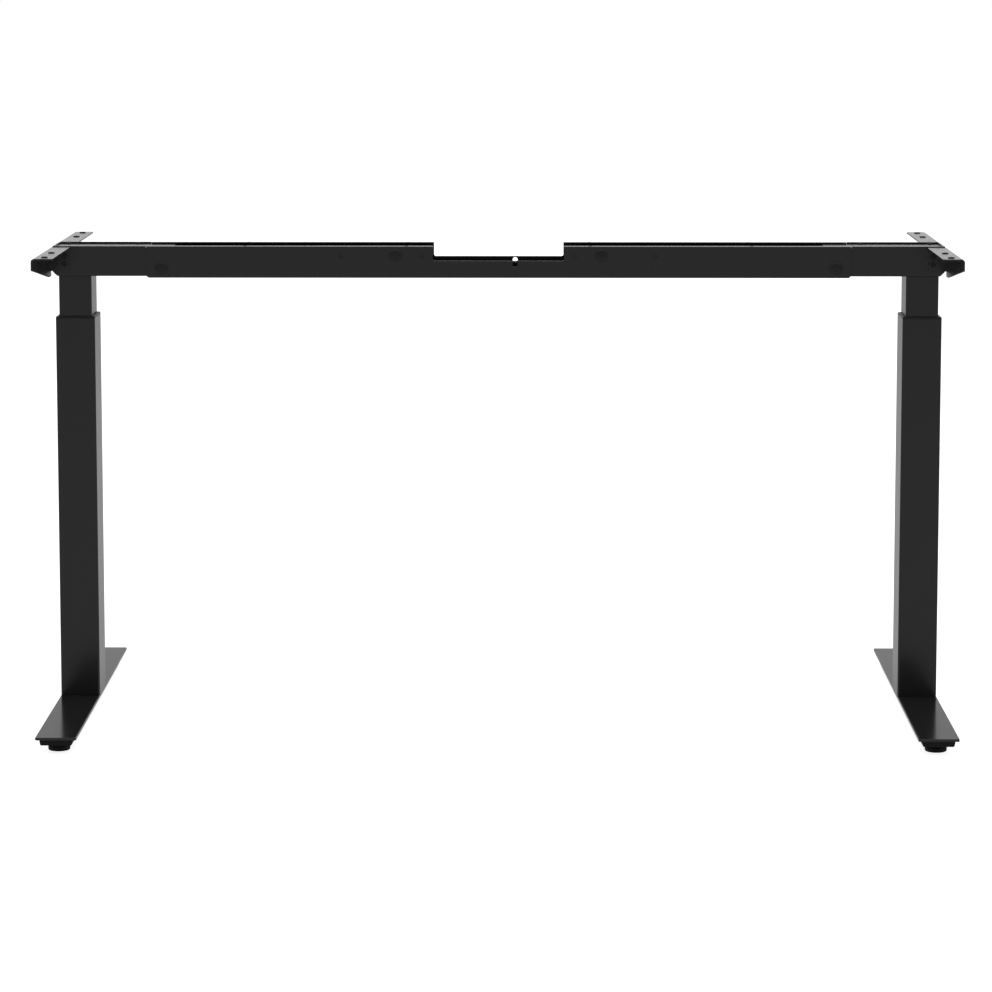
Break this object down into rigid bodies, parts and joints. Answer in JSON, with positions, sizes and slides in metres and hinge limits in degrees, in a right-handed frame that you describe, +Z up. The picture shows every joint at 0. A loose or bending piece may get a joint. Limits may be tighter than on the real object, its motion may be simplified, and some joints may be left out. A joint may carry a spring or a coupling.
{
  "type": "height adjustable standing desk frame",
  "caption": "Black steel sit-stand desk frame: two telescoping columns on flat feet, joined by a width-adjustable beam with side arms for a tabletop.",
  "frame": {"origin": "on the floor, midway between the two feet", "axes": "+X to the right along the beam, +Y to the back, +Z up"},
  "size_m": [1.3688, 0.7, 0.724],
  "materials": {
    "powder_coat": "black fine-texture powder coat, semi-gloss",
    "black_plastic": "black moulded nylon, satin",
    "rubber": "black rubber, matt",
    "black_screw": "black oxide on steel, satin",
    "zinc": "bright zinc plate on steel",
    "raw_steel": "oiled bare steel",
    "brass": "machined brass",
    "white_plastic": "natural acetal, satin"
  },
  "bodies": {
    "left_base": {"left_foot_plate": "powder_coat", "left_foot_stiffener": "powder_coat", "left_foot_nuts": "zinc", "left_column_screws": "black_screw", "left_outer_tube": "powder_coat", "left_column_base": "raw_steel", "left_collar": "black_plastic", "left_push_tube": "raw_steel", "left_drive_nut": "brass"},
    "left_upper": {"left_inner_tube": "powder_coat", "left_lower_slider": "white_plastic", "left_head_insert": "raw_steel", "left_motor": "zinc", "left_gearbox": "zinc", "left_spindle_bearing": "raw_steel", "left_head_rail": "powder_coat", "left_head_cover": "powder_coat", "left_front_arm": "powder_coat", "left_rear_arm": "powder_coat", "left_head_screws": "black_screw", "left_arm_screws": "black_screw", "left_cover_screws": "black_screw", "left_arm_grommets": "rubber"},
    "left_spindle": {"left_drive_spindle": "raw_steel"},
    "beam": {"centre_channel": "powder_coat", "width_clamp_screws": "black_screw"},
    "right_upper": {"right_inner_tube": "powder_coat", "right_lower_slider": "white_plastic", "right_head_insert": "raw_steel", "right_motor": "zinc", "right_gearbox": "zinc", "right_spindle_bearing": "raw_steel", "right_head_rail": "powder_coat", "right_head_cover": "powder_coat", "right_front_arm": "powder_coat", "right_rear_arm": "powder_coat", "right_head_screws": "black_screw", "right_arm_screws": "black_screw", "right_cover_screws": "black_screw", "right_arm_grommets": "rubber"},
    "right_spindle": {"right_drive_spindle": "raw_steel"},
    "right_base": {"right_foot_plate": "powder_coat", "right_foot_stiffener": "powder_coat", "right_foot_nuts": "zinc", "right_column_screws": "black_screw", "right_outer_tube": "powder_coat", "right_column_base": "raw_steel", "right_collar": "black_plastic", "right_push_tube": "raw_steel", "right_drive_nut": "brass"},
    "left_front_glide": {"left_front_glide_pad": "rubber", "left_front_glide_stud": "zinc"},
    "left_rear_glide": {"left_rear_glide_pad": "rubber", "left_rear_glide_stud": "zinc"},
    "right_front_glide": {"right_front_glide_pad": "rubber", "right_front_glide_stud": "zinc"},
    "right_rear_glide": {"right_rear_glide_pad": "rubber", "right_rear_glide_stud": "zinc"}
  },
  "joints": [
    {"name": "left_lift", "type": "slide", "parent": "left_base", "child": "left_upper", "axis": [0, 0, 1], "range_m": [-0.01, 0.465]},
    {"name": "left_width", "type": "slide", "parent": "left_upper", "child": "beam", "axis": [1, 0, 0], "range_m": [0, 0.215]},
    {"name": "right_width", "type": "slide", "parent": "beam", "child": "right_upper", "axis": [1, 0, 0], "range_m": [0, 0.215]},
    {"name": "right_lift", "type": "slide", "parent": "right_upper", "child": "right_base", "axis": [0, 0, -1], "range_m": [-0.01, 0.465]},
    {"name": "left_spindle_spin", "type": "hinge", "parent": "left_upper", "child": "left_spindle", "pos_m": [-0.647, 0, 0.3], "axis": [0, 0, 1], "range_deg": [-460, 20940]},
    {"name": "right_spindle_spin", "type": "hinge", "parent": "right_upper", "child": "right_spindle", "pos_m": [0.647, 0, 0.3], "axis": [0, 0, 1], "range_deg": [-460, 20940]},
    {"name": "left_front_glide_screw", "type": "slide", "parent": "left_base", "child": "left_front_glide", "axis": [0, 0, -1], "range_m": [0, 0.005]},
    {"name": "left_rear_glide_screw", "type": "slide", "parent": "left_base", "child": "left_rear_glide", "axis": [0, 0, -1], "range_m": [0, 0.005]},
    {"name": "right_front_glide_screw", "type": "slide", "parent": "right_base", "child": "right_front_glide", "axis": [0, 0, -1], "range_m": [0, 0.005]},
    {"name": "right_rear_glide_screw", "type": "slide", "parent": "right_base", "child": "right_rear_glide", "axis": [0, 0, -1], "range_m": [0, 0.005]}
  ],
  "couplings": [
    {"joint": "right_lift", "follows": "left_lift", "ratio": 1},
    {"joint": "left_spindle_spin", "follows": "left_lift", "rad_per_m": 785.4},
    {"joint": "right_spindle_spin", "follows": "left_lift", "rad_per_m": 785.4}
  ]
}
